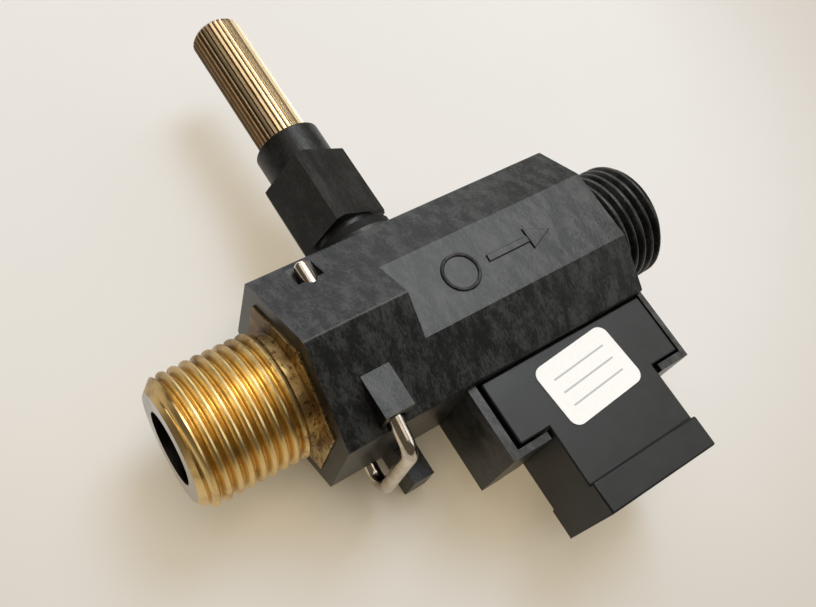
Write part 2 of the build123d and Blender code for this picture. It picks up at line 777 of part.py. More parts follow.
# Contact pins from the back of the board into the socket.
for pin in range(contact_pins):
    with BuildPart() as contact_pin:
        with BuildSketch(Plane.XZ.offset(-(socket_floor - contact_reach))):
            with Locations((pickup_x + (pin - (contact_pins - 1) / 2) * contact_pitch, contact_z)):
                Rectangle(contact_size, contact_size)
        extrude(amount=-(wing_mid_y - fit_gap - socket_floor + contact_reach))
        chamfer(contact_pin.faces().sort_by(Axis.Y)[0].edges(), contact_size / 4)
    contact_pin.part.label = f"contact_pin_{pin + 1}"
    export_step(contact_pin.part, f"parts/contact_pin_{pin + 1}.step")

# Paper label.
with BuildPart() as inspection_label:
    with BuildSketch(Plane.XY.offset(label_z)):
        with Locations(Location((pickup_x, pickup_top_y - label_drop, 0), (0, 0, label_turn))):
            RectangleRounded(label_width, label_height, label_corner_r)
    extrude(amount=label_thickness)
inspection_label.part.label = "inspection_label"
export_step(inspection_label.part, "parts/inspection_label.step")
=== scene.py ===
"""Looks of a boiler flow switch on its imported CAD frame: threads, soft edges, finishes, light and camera.

Lengths are in metres and angles in degrees unless a name says otherwise.
+X is the way of the water, +Y runs up the spindle and +Z leaves the face with the moulded marks.
"""

import json
import logging
import math
from abc import ABC, abstractmethod
from dataclasses import dataclass
from enum import Enum

import bmesh
import bpy
from bmesh.types import BMEdge, BMesh, BMVert
from mathutils import Matrix, Vector


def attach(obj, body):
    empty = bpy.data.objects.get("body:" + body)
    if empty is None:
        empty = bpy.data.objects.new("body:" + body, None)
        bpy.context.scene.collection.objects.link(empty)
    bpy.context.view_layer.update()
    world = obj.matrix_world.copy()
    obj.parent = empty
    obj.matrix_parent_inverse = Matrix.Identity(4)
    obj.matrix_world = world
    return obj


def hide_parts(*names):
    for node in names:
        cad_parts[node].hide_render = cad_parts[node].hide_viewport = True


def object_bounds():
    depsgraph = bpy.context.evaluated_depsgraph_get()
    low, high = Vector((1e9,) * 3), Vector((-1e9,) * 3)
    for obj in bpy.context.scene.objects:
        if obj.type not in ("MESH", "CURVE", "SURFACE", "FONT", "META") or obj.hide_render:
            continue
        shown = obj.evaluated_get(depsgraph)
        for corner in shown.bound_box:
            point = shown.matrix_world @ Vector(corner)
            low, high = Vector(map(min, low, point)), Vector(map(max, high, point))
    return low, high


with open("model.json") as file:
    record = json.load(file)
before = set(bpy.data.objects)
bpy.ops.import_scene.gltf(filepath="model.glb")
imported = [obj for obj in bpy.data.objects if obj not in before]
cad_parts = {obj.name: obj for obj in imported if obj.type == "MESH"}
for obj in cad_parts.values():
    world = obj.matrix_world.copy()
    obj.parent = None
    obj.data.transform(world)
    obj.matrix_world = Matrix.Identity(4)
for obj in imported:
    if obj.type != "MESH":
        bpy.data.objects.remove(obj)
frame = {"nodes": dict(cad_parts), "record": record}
cad_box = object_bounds()
log = logging.getLogger("flow_switch")

MM = 0.001
WELD = 1e-6
FLAT = 0.2
SHARP = 24.0
EDGE_STEPS = 2
BODY = "housing"
Colour = tuple[float, float, float]
Point = tuple[float, float, float]
Pair = tuple[float, float]


class Slot(Enum):
    """The record's material slots."""

    NYLON = "black_nylon"
    PICKUP = "pickup_plastic"
    BRASS = "brass"
    SPINDLE = "spindle_brass"
    STEEL = "spring_steel"
    RUBBER = "rubber"
    ACETAL = "white_acetal"
    FERRITE = "ferrite"
    BOARD = "board"
    CHIP = "chip_case"
    CONTACT = "tinned_contact"
    PAPER = "label_paper"


class End(Enum):
    """Which end of a sleeve along X is the open one. The value is the way in from there."""

    LOW = 1
    HIGH = -1


class Wire:
    """An output socket that does shader maths with plain operators."""

    def __init__(self, graph: "Graph", socket: bpy.types.NodeSocket | None) -> None:
        """Wraps a socket.

        Args:
            graph: The tree that the socket is in.
            socket: The output socket, or None behind a node without outputs.
        """
        self.graph = graph
        self.socket = socket

    def maths(self, operation: str, *terms: "Term") -> "Wire":
        """Adds a Math node.

        Args:
            operation: Name of the Math operation.
            terms: Its inputs in order.

        Returns:
            The result.
        """
        return self.graph.node("ShaderNodeMath", {"operation": operation}, dict(enumerate(terms)))

    def __add__(self, other: "Term") -> "Wire":
        """Returns self + other."""
        return self.maths("ADD", self, other)

    def __radd__(self, other: "Term") -> "Wire":
        """Returns other + self."""
        return self.maths("ADD", other, self)

    def __sub__(self, other: "Term") -> "Wire":
        """Returns self - other."""
        return self.maths("SUBTRACT", self, other)

    def __rsub__(self, other: "Term") -> "Wire":
        """Returns other - self."""
        return self.maths("SUBTRACT", other, self)

    def __mul__(self, other: "Term") -> "Wire":
        """Returns self * other."""
        return self.maths("MULTIPLY", self, other)

    def __rmul__(self, other: "Term") -> "Wire":
        """Returns other * self."""
        return self.maths("MULTIPLY", other, self)

    def __pow__(self, other: "Term") -> "Wire":
        """Returns self ** other."""
        return self.maths("POWER", self, other)

    def __abs__(self) -> "Wire":
        """Returns the absolute value."""
        return self.maths("ABSOLUTE", self)

    def ramp(self, low: float, high: float, start: float = 0.0, end: float = 1.0) -> "Wire":
        """Maps low..high smoothly to start..end.

        Args:
            low: Value that gives start.
            high: Value that gives end.
            start: Result at low.
            end: Result at high.

        Returns:
            The mapped value.
        """
        sockets = {"Value": self, "From Min": low, "From Max": high, "To Min": start, "To Max": end}
        return self.graph.node("ShaderNodeMapRange", {"interpolation_type": "SMOOTHSTEP"}, sockets)


Term = Wire | float | int | tuple


class Graph:
    """The node tree of one material or of the world."""

    # Numbers of the Mix node's sockets for colours: share, both colours, and the result.
    SHARE, FIRST, SECOND, MIXED = 0, 6, 7, 2

    def __init__(self, tree: bpy.types.NodeTree) -> None:
        """Empties the tree.

        Args:
            tree: Tree to build in.
        """
        self.tree = tree
        tree.nodes.clear()

    def node(self, kind: str, settings: dict, sockets: dict, output: int | str = 0) -> Wire:
        """Adds one node.

        Args:
            kind: Blender's name of the node type.
            settings: Properties to set first.
            sockets: Inputs by name or number, each a wire or a plain value.
            output: Output to hand back.

        Returns:
            The chosen output.
        """
        made = self.tree.nodes.new(kind)
        for name, value in settings.items():
            setattr(made, name, value)
        for key, value in sockets.items():
            socket = made.inputs[key]
            if isinstance(value, Wire):
                self.tree.links.new(value.socket, socket)
            elif socket.type == "RGBA":
                socket.default_value = (*value, 1.0)
            else:
                socket.default_value = value
        return Wire(self, made.outputs[output] if len(made.outputs) else None)

    def place(self) -> Wire:
        """Returns the position on the object, in metres."""
        return self.node("ShaderNodeTexCoord", {}, {}, "Object")

    def axes(self, position: Wire) -> tuple[Wire, Wire, Wire]:
        """Splits a position.

        Args:
            position: A vector.

        Returns:
            Its x, y and z.
        """
        x = self.node("ShaderNodeSeparateXYZ", {}, {"Vector": position})
        return x, *(Wire(self, x.socket.node.outputs[i]) for i in (1, 2))

    def moved(
        self, position: Wire, shift: Point = (0, 0, 0), turn: float = 0.0, stretch: Point = (1, 1, 1)
    ) -> Wire:
        """Carries a position into another frame.

        Args:
            position: A vector.
            shift: Added to it, after the turn and stretch.
            turn: Turn about Z.
            stretch: Factor along each axis.

        Returns:
            The new vector.
        """
        turns = (0, 0, math.radians(turn))
        sockets = {"Vector": position, "Location": shift, "Rotation": turns, "Scale": stretch}
        return self.node("ShaderNodeMapping", {}, sockets)

    def noise(self, position: Wire, grain: float, detail: float = 3.0, rough: float = 0.55) -> Wire:
        """Adds cloudy noise.

        Args:
            position: Where it is read.
            grain: Size of its largest patches.
            detail: Octaves.
            rough: Weight of the finer octaves.

        Returns:
            A value around 0.5.
        """
        sockets = {"Vector": position, "Scale": 1.0 / grain, "Detail": detail, "Roughness": rough}
        return self.node("ShaderNodeTexNoise", {}, sockets)

    def mix(self, first: Term, second: Term, share: Term) -> Wire:
        """Mixes two colours.

        Args:
            first: Colour at 0.
            second: Colour at 1.
            share: Share of the second.

        Returns:
            The mixed colour.
        """
        sockets = {self.SHARE: share, self.FIRST: first, self.SECOND: second}
        return self.node("ShaderNodeMix", {"data_type": "RGBA"}, sockets, self.MIXED)

    def bump(self, height: Wire, depth: float, strength: float) -> Wire:
        """Turns a height into a normal.

        Args:
            height: Height from 0 to 1.
            depth: What a height of 1 stands for.
            strength: Share of the effect.

        Returns:
            The normal.
        """
        sockets = {"Strength": strength, "Distance": depth, "Height": height}
        return self.node("ShaderNodeBump", {}, sockets)


@dataclass(frozen=True)
class Finish(ABC):
    """A surface finish that becomes one procedural material."""

    slot: Slot

    @abstractmethod
    def sockets(self, graph: Graph) -> dict[str, Term]:
        """Wires up the finish.

        Args:
            graph: Tree of the material.

        Returns:
            Values for the shader's inputs, by name.
        """

    def material(self) -> bpy.types.Material:
        """Returns a new material with this finish."""
        made = bpy.data.materials.new(self.slot.value)
        made.use_nodes = True
        graph = Graph(made.node_tree)
        shader = graph.node("ShaderNodeBsdfPrincipled", {}, self.sockets(graph))
        graph.node("ShaderNodeOutputMaterial", {}, {"Surface": shader})
        return made


@dataclass(frozen=True)
class Moulded(Finish):
    """Moulded plastic, rubber or ceramic with a cloudy tone and a fine skin."""

    dark: Colour
    light: Colour
    gloss: Pair
    cloud: float
    skin: float
    specular: float = 0.5
    cloud_share: float = 0.7
    tone: Pair = (0.36, 0.68)
    gloss_tone: Pair = (0.3, 0.7)
    relief: float = 0.02 * MM
    bite: float = 0.5

    def sockets(self, graph: Graph) -> dict[str, Term]:
        """Wires tone and gloss to clouds, and the normal to the skin.

        Args:
            graph: Tree of the material.

        Returns:
            Values for the shader's inputs, by name.
        """
        place = graph.place()
        clouds = graph.noise(place, self.cloud, detail=4.0, rough=0.6)
        skin = graph.noise(place, self.skin, detail=2.0)
        mottle = clouds * self.cloud_share + skin * (1 - self.cloud_share)
        return {
            "Base Color": graph.mix(self.dark, self.light, mottle.ramp(*self.tone)),
            "Roughness": clouds.ramp(*self.gloss_tone, *self.gloss),
            "Specular IOR Level": self.specular,
            "Normal": graph.bump(skin, self.relief, self.bite),
        }


@dataclass(frozen=True)
class FilledNylon(Finish):
    """Black nylon with short glass fibres, which show as pale flow marks, less so up on the bonnet."""

    dark: Colour = (0.007, 0.0073, 0.0072)
    bloom: Colour = (0.028, 0.029, 0.0275)
    fibre: float = 0.4 * MM
    flow: float = 2.6 * MM
    flow_stretch: Point = (1.3, 0.45, 0.8)
    flow_share: float = 0.6
    tone: Pair = (0.4, 0.64)
    gloss: Pair = (0.32, 0.47)
    specular: float = 0.26
    sheen: float = 0.5
    bonnet_y: Pair = (15.9 * MM, 16.4 * MM)
    bonnet_share: float = 0.45
    relief: float = 0.05 * MM
    bite: float = 0.8

    def sockets(self, graph: Graph) -> dict[str, Term]:
        """Wires flow marks, fibre specks and a lightly pitted skin.

        Args:
            graph: Tree of the material.

        Returns:
            Values for the shader's inputs, by name.
        """
        place = graph.place()
        drawn = graph.moved(place, stretch=self.flow_stretch)
        flow = graph.noise(drawn, self.flow, detail=5.0, rough=0.65)
        specks = graph.noise(drawn, self.fibre, detail=3.0, rough=0.7)
        _, y, _ = graph.axes(place)
        marks = (flow * self.flow_share + specks * (1 - self.flow_share)).ramp(*self.tone)
        share = marks * y.ramp(*self.bonnet_y, 1.0, self.bonnet_share)
        return {
            "Base Color": graph.mix(self.dark, self.bloom, share),
            "Roughness": share.ramp(0.0, 1.0, *self.gloss),
            "Specular IOR Level": self.specular,
            "Coat Weight": share.ramp(0.0, 1.0, 0.0, self.sheen),
            "Coat Roughness": self.gloss[1],
            "Normal": graph.bump(specks, self.relief, self.bite),
        }


@dataclass(frozen=True)
class Metal(Finish):
    """Bare metal with duller clouds and fine tool marks along one axis."""

    bright: Colour
    dull: Colour
    gloss: Pair
    marks: Point = (1, 1, 1)
    mark_size: float = 0.4 * MM
    cloud: float = 2.4 * MM
    tone: Pair = (0.42, 0.72)
    dull_share: float = 0.7
    relief: float = 0.012 * MM
    bite: float = 0.5

    def tarnish_and_shade(self, graph: Graph, place: Wire) -> Wire:
        """Wires where the metal is dull, from tarnish; the brasses add painted shade to it.

        Args:
            graph: Tree of the material.
            place: Position on the object.

        Returns:
            Share of the dull colour, 0 to 1.
        """
        return graph.noise(place, self.cloud, detail=5.0, rough=0.6).ramp(*self.tone)

    def sockets(self, graph: Graph) -> dict[str, Term]:
        """Wires tarnish, with painted shade where a subclass adds it, to colour and gloss, and tool marks
        to the normal.

        Args:
            graph: Tree of the material.

        Returns:
            Values for the shader's inputs, by name.
        """
        place = graph.place()
        # The dull share is tarnish, and in the brasses also painted shade.
        dull = self.tarnish_and_shade(graph, place)
        marks = graph.noise(graph.moved(place, stretch=self.marks), self.mark_size, detail=2.0)
        wear = dull * self.dull_share + marks * (1 - self.dull_share)
        return {
            "Base Color": graph.mix(self.bright, self.dull, dull),
            "Metallic": 1.0,
            "Roughness": wear.ramp(0.0, 1.0, *self.gloss),
            "Normal": graph.bump(marks, self.relief, self.bite),
        }


@dataclass(frozen=True)
class TurnedBrass(Metal):
    """Brass turned along X, browner above from painted shade, with a painted reflection on its faced end
    and dark spots gathered by the flange.
    """

    cloud: float = 4.0 * MM
    tone: Pair = (0.4, 0.8)
    cloud_weight: float = 0.5
    upper_painted_shade_y: Pair = (2.0 * MM, 9.0 * MM)
    upper_painted_shade_weight: float = 0.45
    flange: float = 20.0 * MM
    reach: float = 7.0 * MM
    flange_weight: float = 0.35
    spot: float = 0.9 * MM
    spot_tone: Pair = (0.52, 0.66)
    spot_weight: float = 0.8
    painted_end_reflection: Colour = (0.5, 0.485, 0.455)
    painted_end_reflection_x: Pair = (0.1 * MM, 0.02 * MM)
    bore_dark: Colour = (0.05, 0.046, 0.041)
    bore_dark_r: Pair = (5.9 * MM, 5.8 * MM)

    def sockets(self, graph: Graph) -> dict[str, Term]:
        """Adds a pale painted reflection on the faced end, and the darker bore, to the metal.

        Args:
            graph: Tree of the material.

        Returns:
            Values for the shader's inputs, by name.
        """
        wired = super().sockets(graph)
        x, y, z = graph.axes(graph.place())
        # Painted reflection: the end face at the mouth turns pale grey.
        painted_end_reflection = graph.mix(wired["Base Color"], self.painted_end_reflection, x.ramp(*self.painted_end_reflection_x))
        # The colour darkens inside the bore radius.
        radius = (y ** 2 + z ** 2) ** 0.5
        wired["Base Color"] = graph.mix(painted_end_reflection, self.bore_dark, radius.ramp(*self.bore_dark_r))
        return wired

    def tarnish_and_shade(self, graph: Graph, place: Wire) -> Wire:
        """Wires soft clouds all over, painted shade on the upper side and dark spots near the flange.

        Args:
            graph: Tree of the material.
            place: Position on the object.

        Returns:
            Share of the dull colour, 0 to 1.
        """
        x, y, _ = graph.axes(place)
        near = abs(x - self.flange).ramp(self.reach, 0.0)
        spots = graph.noise(place, self.spot, detail=4.0, rough=0.7).ramp(*self.spot_tone)
        clouds = graph.noise(place, self.cloud, detail=4.0).ramp(*self.tone)
        # Painted shade: the upper side, towards +Y, is darkened.
        upper = y.ramp(*self.upper_painted_shade_y)
        dirt = near * (self.flange_weight + spots * self.spot_weight)
        return (clouds * self.cloud_weight + upper * self.upper_painted_shade_weight + dirt).ramp(0.0, 1.0)


@dataclass(frozen=True)
class SplinedBrass(Metal):
    """Brass round the spindle's axis, dark in the grooves between the splines, with painted shade on its
    inlet side.
    """

    cloud: float = 3.0 * MM
    tone: Pair = (0.45, 0.8)
    cloud_weight: float = 0.2
    axis_x: float = 41.1 * MM
    groove_r: Pair = (4.1 * MM, 4.42 * MM)
    groove_weight: float = 0.9
    painted_shade_span: Pair = (-2.2 * MM, -3.7 * MM)
    painted_shade_weight: float = 0.85

    def tarnish_and_shade(self, graph: Graph, place: Wire) -> Wire:
        """Wires darkening in the grooves, by the distance from the axis, and painted shade on the inlet
        side.

        Args:
            graph: Tree of the material.
            place: Position on the object.

        Returns:
            Share of the dull colour, 0 to 1.
        """
        x, _, z = graph.axes(place)
        off = x - self.axis_x
        radius = (off ** 2 + z ** 2) ** 0.5
        grooves = radius.ramp(*self.groove_r, self.groove_weight, 0.0)
        clouds = graph.noise(place, self.cloud, detail=4.0).ramp(*self.tone)
        # Painted shade: the brass darkens on the inlet side of the axis.
        painted_shade = off.ramp(*self.painted_shade_span)
        return (grooves + clouds * self.cloud_weight + painted_shade * self.painted_shade_weight).ramp(0.0, 1.0)


@dataclass(frozen=True)
class RuledPaper(Finish):
    """Coated white paper with three faint ruled lines."""

    centre: Pair = (59.15 * MM, -22.0 * MM)
    turn: float = 5.0
    paper: Colour = (0.87, 0.86, 0.85)
    shade: Colour = (0.845, 0.835, 0.825)
    fibre: float = 0.6 * MM
    tone: Pair = (0.3, 0.6)
    gloss: Pair = (0.42, 0.58)
    gloss_tone: Pair = (0.3, 0.7)
    relief: float = 0.01 * MM
    bite: float = 0.4
    ink: Colour = (0.3, 0.3, 0.31)
    ink_share: float = 0.75
    line_count: int = 3
    line_gap: float = 2.4 * MM
    line_width: float = 0.3 * MM
    line_half: float = 5.4 * MM
    line_blur: float = 0.1

    def sockets(self, graph: Graph) -> dict[str, Term]:
        """Wires the paper's tone and the ruled lines.

        Args:
            graph: Tree of the material.

        Returns:
            Values for the shader's inputs, by name.
        """
        place = graph.place()
        fibres = graph.noise(place, self.fibre, detail=4.0)
        paper = graph.mix(self.shade, self.paper, fibres.ramp(*self.tone))
        return {
            "Base Color": graph.mix(paper, self.ink, self._lines(graph, place) * self.ink_share),
            "Roughness": fibres.ramp(*self.gloss_tone, *self.gloss),
            "Normal": graph.bump(fibres, self.relief, self.bite),
        }

    def _lines(self, graph: Graph, place: Wire) -> Wire:
        """Wires where the ruled lines are, in the label's own frame.

        Args:
            graph: Tree of the material.
            place: Position on the object.

        Returns:
            1 on a line and 0 off it.
        """
        shifted = graph.moved(place, shift=(-self.centre[0], -self.centre[1], 0))
        u, v, _ = graph.axes(graph.moved(shifted, turn=-self.turn))
        off = abs(v.maths("WRAP", v, 0.5 * self.line_gap, -0.5 * self.line_gap))
        lines = off.ramp(self.line_width * (0.5 + self.line_blur), self.line_width * (0.5 - self.line_blur))
        along = abs(u).ramp(self.line_half + self.line_blur * MM, self.line_half)
        rows = 0.5 * self.line_count
        across = abs(v).ramp(self.line_gap * rows, self.line_gap * (rows - self.line_blur))
        return lines * (along * across)


FINISHES: tuple[Finish, ...] = (
    FilledNylon(Slot.NYLON),
    Moulded(
        Slot.PICKUP,
        dark=(0.01, 0.0104, 0.0111),
        light=(0.016, 0.0166, 0.0176),
        gloss=(0.36, 0.44),
        cloud=5.0 * MM,
        skin=0.35 * MM,
        specular=0.285,
    ),
    TurnedBrass(
        Slot.BRASS,
        bright=(0.78, 0.57, 0.25),
        dull=(0.14, 0.076, 0.03),
        gloss=(0.27, 0.5),
        marks=(6, 0.5, 0.5),
    ),
    SplinedBrass(
        Slot.SPINDLE,
        bright=(0.82, 0.68, 0.47),
        dull=(0.18, 0.108, 0.05),
        gloss=(0.26, 0.5),
        marks=(1, 0.3, 1),
    ),
    Metal(
        Slot.STEEL,
        bright=(0.68, 0.62, 0.54),
        dull=(0.44, 0.39, 0.33),
        gloss=(0.08, 0.22),
    ),
    Moulded(
        Slot.RUBBER,
        dark=(0.006, 0.006, 0.006),
        light=(0.012, 0.012, 0.012),
        gloss=(0.6, 0.78),
        cloud=2.0 * MM,
        skin=0.2 * MM,
        specular=0.2,
    ),
    Moulded(
        Slot.ACETAL,
        dark=(0.74, 0.735, 0.71),
        light=(0.83, 0.825, 0.80),
        gloss=(0.35, 0.5),
        cloud=3.0 * MM,
        skin=0.3 * MM,
    ),
    Moulded(
        Slot.FERRITE,
        dark=(0.04, 0.04, 0.043),
        light=(0.08, 0.08, 0.085),
        gloss=(0.5, 0.7),
        cloud=0.8 * MM,
        skin=0.1 * MM,
    ),
    Moulded(
        Slot.BOARD,
        dark=(0.02, 0.11, 0.045),
        light=(0.045, 0.17, 0.08),
        gloss=(0.25, 0.4),
        cloud=2.0 * MM,
        skin=0.25 * MM,
    ),
    Moulded(
        Slot.CHIP,
        dark=(0.015, 0.015, 0.016),
        light=(0.028, 0.028, 0.03),
        gloss=(0.4, 0.55),
        cloud=0.7 * MM,
        skin=0.1 * MM,
    ),
    Metal(
        Slot.CONTACT,
        bright=(0.78, 0.77, 0.74),
        dull=(0.55, 0.54, 0.52),
        gloss=(0.2, 0.38),
    ),
    RuledPaper(Slot.PAPER),
)


class Wardrobe:
    """Makes each finish once, and dresses nodes and pieces with it."""

    def __init__(self, finishes: tuple[Finish, ...]) -> None:
        """Makes the materials.

        Args:
            finishes: One finish for each slot.
        """
        self.materials = {finish.slot: finish.material() for finish in finishes}

    def dress_nodes(self) -> None:
        """Gives every CAD node the finish of its slot."""
        for part in frame["record"]["subparts"]:
            mesh = frame["nodes"][part["node"]].data
            mesh.materials.clear()
            mesh.materials.append(self.materials[Slot(part["material_slot"])])
            log.info("node %s: %s", part["node"], part["material_slot"])

    def piece(self, bm: BMesh, name: str, slot: Slot, body: str, *stands_for: str) -> bpy.types.Object:
        """Turns a finished mesh into a piece of the object.

        Args:
            bm: Mesh to use up.
            name: Name of the piece.
            slot: Its finish.
            body: CAD body that it moves with.
            stands_for: CAD nodes that it replaces.

        Returns:
            The piece.
        """
        mesh = bpy.data.meshes.new(name)
        bm.to_mesh(mesh)
        bm.free()
        mesh.materials.append(self.materials[slot])
        mesh.polygons.foreach_set("use_smooth", [True] * len(mesh.polygons))
        mesh.set_sharp_from_angle(angle=math.radians(SHARP))
        made = bpy.data.objects.new(name, mesh)
        bpy.context.scene.collection.objects.link(made)
        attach(made, body)
        if stands_for:
            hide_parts(*stands_for)
        log.info("piece %s: %d faces", name, len(mesh.polygons))
        return made


def copy_of(node: str) -> BMesh:
    """Copies the mesh of a CAD node.

    Args:
        node: Name of the node.

    Returns:
        The copy, merged, with its flat faces whole.
    """
    bm = bmesh.new()
    bm.from_mesh(frame["nodes"][node].data)
    bmesh.ops.remove_doubles(bm, verts=bm.verts, dist=WELD)
    bmesh.ops.dissolve_limit(bm, angle_limit=math.radians(FLAT), verts=bm.verts, edges=bm.edges)
    return bm


def rim_at(bm: BMesh, x: float, high_r: float = math.inf) -> list[BMEdge]:
    """Finds the open edges in a plane across the flow.

    Args:
        bm: Mesh to look in.
        x: Place of the plane.
        high_r: Greatest distance from the flow's axis.

    Returns:
        The open edges.
    """
    return [
        edge
        for edge in bm.edges
        if edge.is_boundary
        and all(abs(v.co.x - x) < WELD and math.hypot(v.co.y, v.co.z) < high_r for v in edge.verts)
    ]


def ends_of(edges: list[BMEdge]) -> list[BMVert]:
    """Returns the vertices of some edges, each once."""
    return list({vert: None for edge in edges for vert in edge.verts})


def pull(bm: BMesh, rim: list[BMEdge]) -> list[BMEdge]:
    """Extrudes an open rim in place.

    Args:
        bm: Mesh to extrude in.
        rim: Its open edges.

    Returns:
        The new open edges.
    """
    made = bmesh.ops.extrude_edge_only(bm, edges=rim)["geom"]
    fresh = {item for item in made if isinstance(item, BMVert)}
    return [item for item in made if isinstance(item, BMEdge) and fresh.issuperset(item.verts)]


def cut(bm: BMesh, place: Point, normal: Point, geom: list | None = None, **clear: bool) -> None:
    """Cuts a mesh along a plane.

    Args:
        bm: Mesh to cut.
        place: A point of the plane.
        normal: Normal of the plane.
        geom: Vertices, edges and faces to cut, or None for all of them.
        clear: clear_inner or clear_outer, which drops what is behind or ahead of the plane.
    """
    geom = geom or bm.verts[:] + bm.edges[:] + bm.faces[:]
    bmesh.ops.bisect_plane(bm, geom=geom, dist=WELD / 10, plane_co=place, plane_no=normal, **clear)


def soften(piece: bpy.types.Object, width: float) -> None:
    """Rounds the sharp edges of a piece.

    Args:
        piece: Piece to round.
        width: Width of the rounding.
    """
    edge = piece.modifiers.new("soft_edges", "BEVEL")
    edge.width = width
    edge.segments = EDGE_STEPS
    edge.limit_method = "ANGLE"
    edge.angle_limit = math.radians(SHARP)
    even = piece.modifiers.new("even_shading", "WEIGHTED_NORMAL")
    even.keep_sharp = True


@dataclass(frozen=True)
class PipeThread:
    """Half-inch parallel pipe thread on a sleeve along X."""

    crest_r: float = 10.478 * MM
    root_r: float = 9.317 * MM
    pitch: float = 1.814 * MM
    steps: int = 72

    # Height of the flank over half a pitch, from the root to the crest.
    FLANK = ((-0.5, 0.0), (-0.45, 0.07), (-0.37, 0.38), (-0.28, 0.7), (-0.16, 0.93), (0.0, 1.0))

    def sleeve(self, start: float, end: float, bore_r: float, lead: float, open_end: End) -> BMesh:
        """Builds a bored sleeve with the thread outside.

        Args:
            start: Lower end along X.
            end: Higher end along X.
            bore_r: Radius of the bore.
            lead: Length of the chamfer at the open end.
            open_end: Which end is the open one.

        Returns:
            The closed sleeve.
        """
        bm = bmesh.new()
        mouth, inner = (start, end) if open_end is End.LOW else (end, start)
        self._wind(bm, start, end)
        self._chamfer(bm, mouth, lead, open_end)
        self._bore(bm, mouth, inner, bore_r)
        return bm

    def _wind(self, bm: BMesh, start: float, end: float) -> None:
        """Winds the thread's surface with a spare turn at each end, and trims it to length.

        Args:
            bm: Mesh to build in.
            start: Lower end along X.
            end: Higher end along X.
        """
        depth = self.crest_r - self.root_r
        flank = self.FLANK + tuple((-u, h) for u, h in reversed(self.FLANK[:-1]))
        outline = [(start + (u - 1) * self.pitch, 0, self.root_r + h * depth) for u, h in flank]
        verts = [bm.verts.new(point) for point in outline]
        edges = [bm.edges.new(pair) for pair in zip(verts, verts[1:])]
        turns = math.ceil((end - start) / self.pitch) + 2
        bmesh.ops.spin(
            bm,
            geom=verts + edges,
            cent=(0, 0, 0),
            axis=(1, 0, 0),
            dvec=(self.pitch / self.steps, 0, 0),
            angle=turns * math.tau,
            steps=turns * self.steps,
        )
        bmesh.ops.remove_doubles(bm, verts=bm.verts, dist=WELD)
        for place, side in ((start, -1), (end, 1)):
            cut(bm, (place, 0, 0), (side, 0, 0), clear_outer=True)

    def _chamfer(self, bm: BMesh, mouth: float, lead: float, open_end: End) -> None:
        """Draws the crests in towards the open end.

        Args:
            bm: Mesh to change.
            mouth: The open end along X.
            lead: Length of the chamfer.
            open_end: Which end is the open one.
        """
        for vert in bm.verts:
            inward = (vert.co.x - mouth) * open_end.value
            most = self.crest_r - max(0.0, lead - inward)
            radius = math.hypot(vert.co.y, vert.co.z)
            if radius > most:
                vert.co.y *= most / radius
                vert.co.z *= most / radius

    def _bore(self, bm: BMesh, mouth: float, inner: float, bore_r: float) -> None:
        """Adds the end faces and the bore.

        Args:
            bm: Mesh to close.
            mouth: The open end along X.
            inner: The other end along X.
            bore_r: Radius of the bore.
        """
        for place in (inner, mouth):
            ring = pull(bm, rim_at(bm, place))
            for vert in ends_of(ring):
                shrink = bore_r / math.hypot(vert.co.y, vert.co.z)
                vert.co = (place, vert.co.y * shrink, vert.co.z * shrink)
        wall = pull(bm, ring)
        bmesh.ops.translate(bm, verts=ends_of(wall), vec=(inner - mouth, 0, 0))
        bmesh.ops.recalc_face_normals(bm, faces=bm.faces)


@dataclass(frozen=True)
class Inlet:
    """Brass inlet: threaded end, and the flange and neck behind it."""

    thread: PipeThread = PipeThread()
    thread_end: float = 17.25 * MM
    bore_r: float = 5.75 * MM
    lead: float = 1.9 * MM
    edge: float = 0.22 * MM

    def build(self, wardrobe: Wardrobe) -> None:
        """Builds both pieces.

        Args:
            wardrobe: Dresses the pieces.
        """
        sleeve = self.thread.sleeve(0.0, self.thread_end, self.bore_r, self.lead, End.LOW)
        wardrobe.piece(sleeve, "inlet_thread", Slot.BRASS, BODY, "inlet_fitting")
        rest = copy_of("inlet_fitting")
        cut(rest, (self.thread_end, 0, 0), (1, 0, 0), clear_inner=True)
        bmesh.ops.bridge_loops(rest, edges=rim_at(rest, self.thread_end))
        soften(wardrobe.piece(rest, "inlet_flange", Slot.BRASS, BODY, "inlet_fitting"), self.edge)


